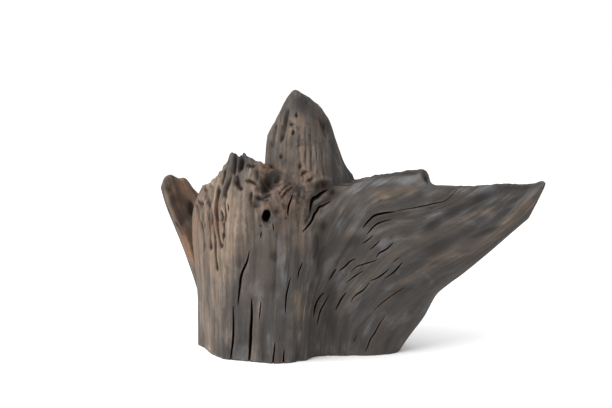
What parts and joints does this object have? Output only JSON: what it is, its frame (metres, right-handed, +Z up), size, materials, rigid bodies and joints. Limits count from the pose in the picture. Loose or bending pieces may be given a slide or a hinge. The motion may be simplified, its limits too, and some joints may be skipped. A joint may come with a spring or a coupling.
{
  "type": "bog oak piece",
  "caption": "Weathered bog oak stump piece on a sawn flat foot: fluted wall with horns, peak, side prong and a long wing sweeping up to the right, with drying checks and a knot hole.",
  "frame": {"origin": "on the sawn flat foot, under the middle of the stump", "axes": "+Z up, +X to the right of the pictured front along the wing, -Y towards the front"},
  "size_m": [0.4233, 0.1601, 0.2879],
  "materials": {
    "bog_oak": "dry weathered grain, dark grey-brown, matt"
  },
  "bodies": {
    "root": {"bog_oak_piece": "bog_oak"}
  },
  "joints": []
}
